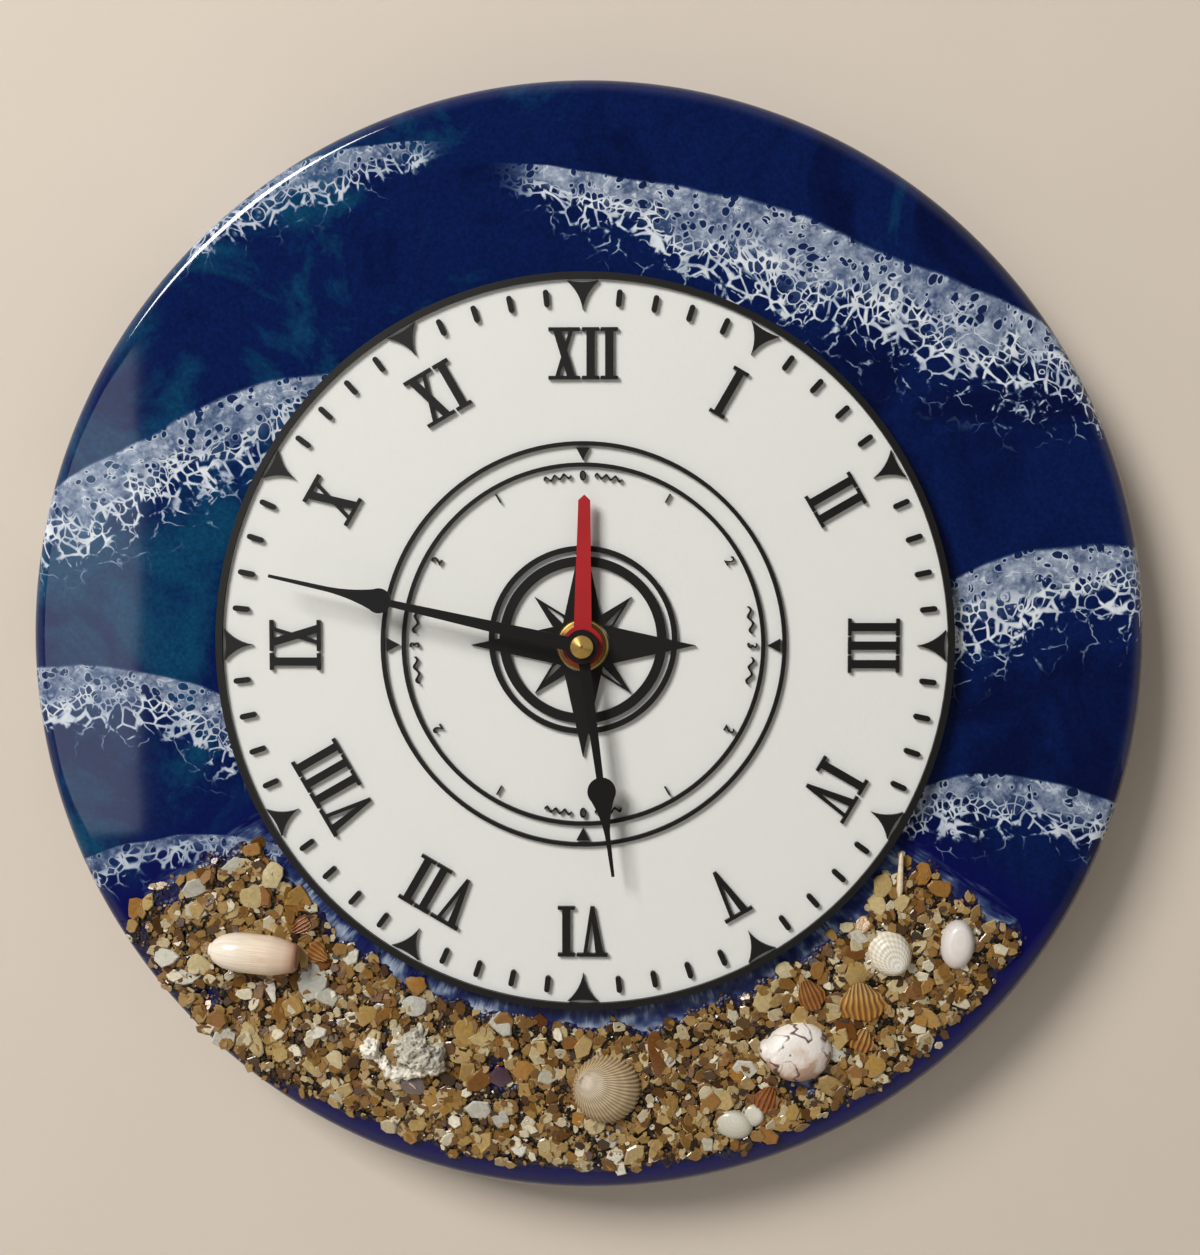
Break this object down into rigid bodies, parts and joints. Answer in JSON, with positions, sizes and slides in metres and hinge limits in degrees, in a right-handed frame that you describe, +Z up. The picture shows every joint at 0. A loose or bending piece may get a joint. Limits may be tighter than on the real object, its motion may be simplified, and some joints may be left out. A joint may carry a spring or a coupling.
{
  "type": "tide clock",
  "caption": "Round resin wall clock with a raised dial, hour and minute hands, and a third hand geared to the tide; hangs by a keyhole in its back.",
  "frame": {"origin": "where the hands' axis meets the wall, on the board's back face", "axes": "+X right and +Z up as it hangs, the dial faces -Y, the back faces +Y"},
  "size_m": [0.305, 0.037, 0.305],
  "materials": {
    "sealed_board": "sealed fibreboard",
    "blue_resin": "poured gloss resin",
    "shell_sand": "coarse shell sand in clear resin",
    "sea_shell": "natural shell",
    "scallop_shell": "natural shell",
    "coral": "worn coral",
    "dial_white": "printed plastic",
    "dial_black": "printed plastic",
    "hand_black": "satin paint",
    "hand_red": "satin paint",
    "turned_brass": "turned",
    "gasket_rubber": "matt",
    "case_plastic": "moulded plastic",
    "gear_plastic": "moulded plastic",
    "bright_steel": "plain",
    "magnet": "plain",
    "copper_wire": "enamelled copper wire",
    "circuit": "laminate",
    "cell_wrap": "plain wrapped cell"
  },
  "bodies": {
    "clock": {"board": "sealed_board", "resin_coat": "blue_resin", "sand_bed": "shell_sand", "olive_shell": "sea_shell", "cockle_shell": "sea_shell", "coral_lump": "coral", "cracked_clam": "sea_shell", "white_cockle": "sea_shell", "oval_clam": "sea_shell", "small_bivalve": "sea_shell", "scallop_fragments": "scallop_shell", "sea_spine": "sea_shell", "shell_chips": "sea_shell", "dial_plate": "dial_white", "dial_rim": "dial_black", "minute_ticks": "dial_black", "hour_markers": "dial_black", "hour_numerals": "dial_black", "tide_rings": "dial_black", "tide_pointers": "dial_black", "compass_rose": "dial_black", "shaft_bushing": "turned_brass", "dial_nut": "turned_brass", "rubber_gasket": "gasket_rubber", "case_front": "case_plastic", "middle_plate": "gear_plastic", "case_back": "case_plastic", "battery": "cell_wrap", "positive_contact": "bright_steel", "negative_contact": "bright_steel", "circuit_board": "circuit", "chip_blob": "case_plastic", "quartz_crystal": "bright_steel", "stator": "bright_steel", "coil_core": "bright_steel", "coil_bobbin": "gear_plastic", "coil_winding": "copper_wire", "hanger_plate": "bright_steel", "hanger_screws": "bright_steel"},
    "minute": {"minute_hand": "hand_black", "cap_nut": "turned_brass", "minute_arbor": "turned_brass"},
    "hour": {"hour_hand": "hand_black", "hour_wheel": "gear_plastic"},
    "tide": {"tide_hand": "hand_red", "tide_wheel": "gear_plastic"},
    "motion": {"motion_wheel": "gear_plastic"},
    "idler": {"tide_idler": "gear_plastic"},
    "setting": {"setting_gear": "gear_plastic", "setting_knob": "case_plastic"},
    "rotor": {"rotor": "gear_plastic", "rotor_magnet": "magnet"},
    "step": {"step_wheel": "gear_plastic"},
    "second": {"second_wheel": "gear_plastic"},
    "third": {"third_wheel": "gear_plastic"},
    "centre": {"centre_wheel": "gear_plastic"}
  },
  "joints": [
    {"name": "minute_spin", "type": "hinge", "parent": "clock", "child": "minute", "pos_m": [0, 0, 0], "axis": [0, 1, 0], "continuous": true},
    {"name": "hour_spin", "type": "hinge", "parent": "clock", "child": "hour", "pos_m": [0, 0, 0], "axis": [0, 1, 0], "continuous": true},
    {"name": "tide_spin", "type": "hinge", "parent": "clock", "child": "tide", "pos_m": [0, 0, 0], "axis": [0, 1, 0], "continuous": true},
    {"name": "motion_spin", "type": "hinge", "parent": "clock", "child": "motion", "pos_m": [-0.01013, 0, 0.00585], "axis": [0, 1, 0], "continuous": true},
    {"name": "idler_spin", "type": "hinge", "parent": "clock", "child": "idler", "pos_m": [0.01261, 0, -0.00338], "axis": [0, 1, 0], "continuous": true},
    {"name": "setting_spin", "type": "hinge", "parent": "clock", "child": "setting", "pos_m": [-0.02055, 0, 0.01314], "axis": [0, 1, 0], "continuous": true},
    {"name": "rotor_spin", "type": "hinge", "parent": "clock", "child": "rotor", "pos_m": [0.00364, 0, 0.01679], "axis": [0, 1, 0], "continuous": true},
    {"name": "step_spin", "type": "hinge", "parent": "clock", "child": "step", "pos_m": [0.00844, 0, 0.01679], "axis": [0, 1, 0], "continuous": true},
    {"name": "second_spin", "type": "hinge", "parent": "clock", "child": "second", "pos_m": [0.01035, 0, 0.01153], "axis": [0, 1, 0], "continuous": true},
    {"name": "third_spin", "type": "hinge", "parent": "clock", "child": "third", "pos_m": [0.00779, 0, 0.0045], "axis": [0, 1, 0], "continuous": true},
    {"name": "centre_spin", "type": "hinge", "parent": "clock", "child": "centre", "pos_m": [0, 0, 0], "axis": [0, 1, 0], "continuous": true}
  ],
  "couplings": [
    {"joint": "hour_spin", "follows": "minute_spin", "ratio": 0.083333},
    {"joint": "tide_spin", "follows": "minute_spin", "ratio": 0.080515},
    {"joint": "motion_spin", "follows": "minute_spin", "ratio": -0.27778},
    {"joint": "idler_spin", "follows": "minute_spin", "ratio": -0.18519},
    {"joint": "setting_spin", "follows": "minute_spin", "ratio": 0.71429},
    {"joint": "step_spin", "follows": "rotor_spin", "ratio": -0.2},
    {"joint": "second_spin", "follows": "rotor_spin", "ratio": 0.033333},
    {"joint": "third_spin", "follows": "rotor_spin", "ratio": -0.0044444},
    {"joint": "centre_spin", "follows": "rotor_spin", "ratio": 0.00055556}
  ]
}
